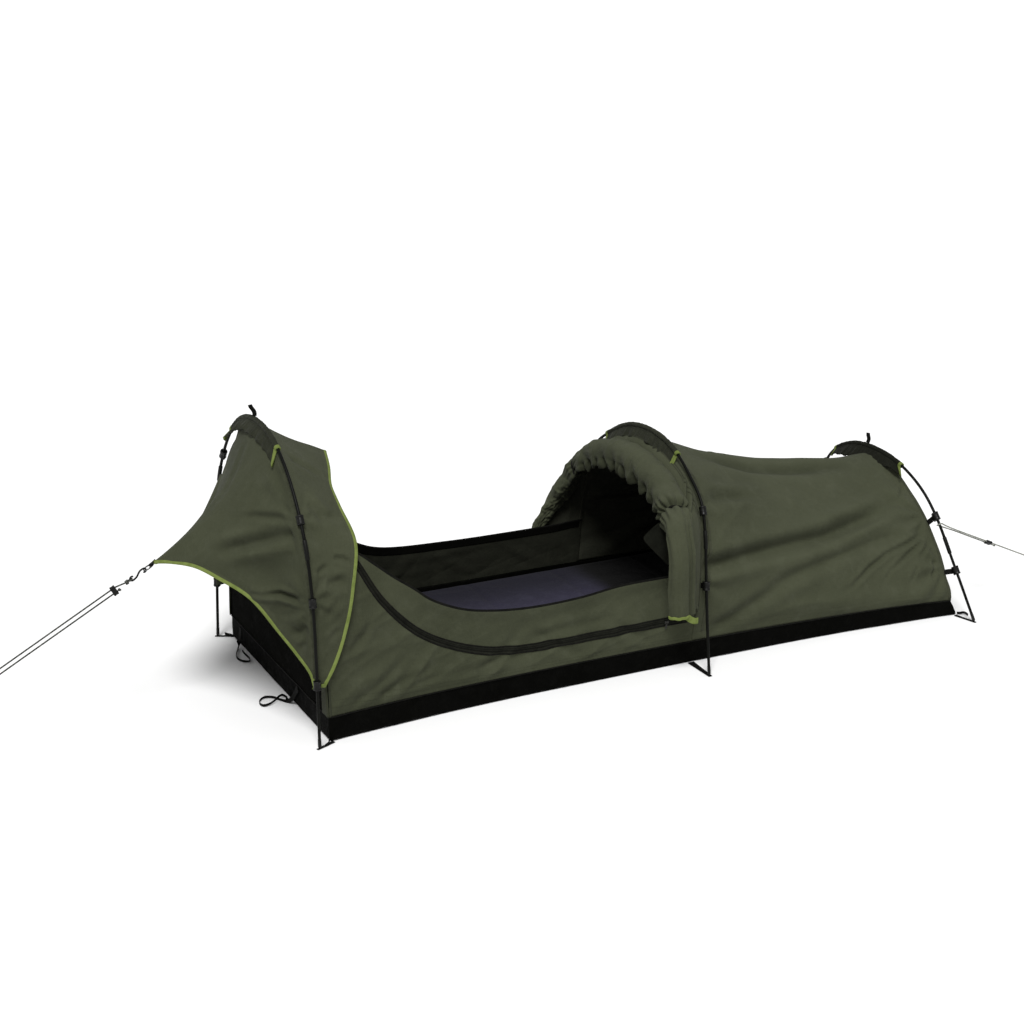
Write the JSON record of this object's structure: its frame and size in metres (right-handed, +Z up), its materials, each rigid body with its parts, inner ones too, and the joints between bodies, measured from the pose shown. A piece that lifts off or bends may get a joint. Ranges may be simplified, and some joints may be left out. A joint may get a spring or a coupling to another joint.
{
  "type": "swag bedroll",
  "caption": "Low one-person canvas swag on arched poles: hooded head end, pointed front awning, cover rolled back to the middle arch, lined floor tub, mattress and guy lines.",
  "frame": {"origin": "bottom centre of the whole object with its guy lines left out, on the ground", "axes": "+X from the head end to the foot end, +Y to the far side, +Z up"},
  "size_m": [3.9104, 1.008, 0.8646],
  "materials": {
    "olive_canvas": "matt woven",
    "sleeve_canvas": "matt woven, darker",
    "coated_tub_cloth": "coated, slight sheen",
    "mattress_cover": "matt",
    "black_lining": "matt mesh",
    "pole": "dark anodised",
    "black_plastic": "moulded",
    "webbing": "ribbed tape",
    "steel_wire": "bright",
    "guy_cord": "braided",
    "zip_metal": "black painted"
  },
  "bodies": {
    "base": {"tub_floor": "coated_tub_cloth", "tub_wall_near": "coated_tub_cloth", "tub_wall_far": "coated_tub_cloth", "tub_wall_head": "coated_tub_cloth", "tub_wall_foot": "coated_tub_cloth", "mattress": "mattress_cover", "side_wall_near": "olive_canvas", "side_wall_far": "olive_canvas", "head_wall": "black_lining", "head_strap_near": "webbing", "head_strap_far": "webbing", "head_foot_tab_near": "webbing", "head_foot_tab_far": "webbing", "mid_foot_tab_near": "webbing", "mid_foot_tab_far": "webbing", "foot_foot_tab_near": "webbing", "foot_foot_tab_far": "webbing"},
    "leg_cover": {"foot_canopy": "olive_canvas", "foot_wall": "olive_canvas"},
    "head_hoop": {"head_pole_near": "pole", "head_pole_top": "pole", "head_pole_far": "pole", "head_sleeve": "sleeve_canvas", "head_clip_near_1": "black_plastic", "head_clip_near_2": "black_plastic", "head_clip_near_3": "black_plastic", "head_clip_far_1": "black_plastic", "head_clip_far_2": "black_plastic", "head_clip_far_3": "black_plastic", "head_top_tab": "webbing", "hood": "olive_canvas", "awning": "olive_canvas", "tip_web_loop": "webbing"},
    "mid_hoop": {"mid_pole_near": "pole", "mid_pole_top": "pole", "mid_pole_far": "pole", "mid_sleeve": "sleeve_canvas", "mid_clip_near_1": "black_plastic", "mid_clip_near_2": "black_plastic", "mid_clip_far_1": "black_plastic", "mid_clip_far_2": "black_plastic", "door_roll": "olive_canvas"},
    "foot_hoop": {"foot_pole_near": "pole", "foot_pole_top": "pole", "foot_pole_far": "pole", "foot_sleeve": "sleeve_canvas", "foot_clip_near_1": "black_plastic", "foot_clip_near_2": "black_plastic", "foot_clip_far_1": "black_plastic", "foot_clip_far_2": "black_plastic", "foot_top_tab": "webbing"},
    "awning_ring": {"tip_ring": "steel_wire"},
    "front_guy": {"front_guy_rope": "guy_cord", "front_hook": "steel_wire"},
    "front_slider": {"front_tensioner": "black_plastic"},
    "rear_guy": {"rear_guy_rope": "guy_cord"},
    "rear_slider": {"rear_slider": "black_plastic"},
    "zip_near": {"zip_slider_near": "zip_metal"},
    "zip_far": {"zip_slider_far": "zip_metal"}
  },
  "joints": [
    {"name": "head_fold", "type": "hinge", "parent": "base", "child": "head_hoop", "pos_m": [-0.93058, 0, 0.0075], "axis": [0, 1, 0], "range_deg": [0, 70], "deforming": ["side_wall_near", "side_wall_far", "head_wall", "hood", "awning", "foot_canopy", "foot_wall", "door_roll"]},
    {"name": "mid_fold", "type": "hinge", "parent": "base", "child": "mid_hoop", "pos_m": [0.29407, 0, 0.0075], "axis": [0, 1, 0], "range_deg": [0, 64]},
    {"name": "foot_fold", "type": "hinge", "parent": "base", "child": "foot_hoop", "pos_m": [1.26538, 0, 0.0075], "axis": [0, 1, 0], "range_deg": [0, 71]},
    {"name": "leg_cover_drop", "type": "slide", "parent": "base", "child": "leg_cover", "axis": [0.7962, 0, -0.6051], "range_m": [0, 0.7272]},
    {"name": "front_guy_drop", "type": "hinge", "parent": "base", "child": "front_guy", "pos_m": [-2.0787, 0, 0], "axis": [0, 1, 0], "range_deg": [0, 27]},
    {"name": "rear_guy_drop", "type": "hinge", "parent": "base", "child": "rear_guy", "pos_m": [1.8263, -0.3, 0], "axis": [0, 1, 0], "range_deg": [-18, 0]},
    {"name": "awning_ring_swing", "type": "hinge", "parent": "head_hoop", "child": "awning_ring", "pos_m": [-1.2537, 0, 0.443], "axis": [0, 1, 0], "range_deg": [-5, 5]},
    {"name": "front_slider_slide", "type": "slide", "parent": "front_guy", "child": "front_slider", "axis": [-0.879, 0, -0.4768], "range_m": [0, 0.3]},
    {"name": "rear_slider_slide", "type": "slide", "parent": "rear_guy", "child": "rear_slider", "axis": [-0.9038, -0.0485, 0.4252], "range_m": [0, 0.08]},
    {"name": "zip_near_slide", "type": "slide", "parent": "base", "child": "zip_near", "axis": [-1, 0, 0], "range_m": [0, 0.42]},
    {"name": "zip_far_slide", "type": "slide", "parent": "base", "child": "zip_far", "axis": [-1, 0, 0], "range_m": [0, 0.42]}
  ],
  "couplings": [
    {"joint": "mid_fold", "follows": "head_fold", "ratio": 0.9},
    {"joint": "foot_fold", "follows": "head_fold", "ratio": 1},
    {"joint": "leg_cover_drop", "follows": "head_fold", "m_per_rad": 0.59114},
    {"joint": "front_guy_drop", "follows": "head_fold", "ratio": 0.38},
    {"joint": "rear_guy_drop", "follows": "head_fold", "ratio": -0.25}
  ]
}
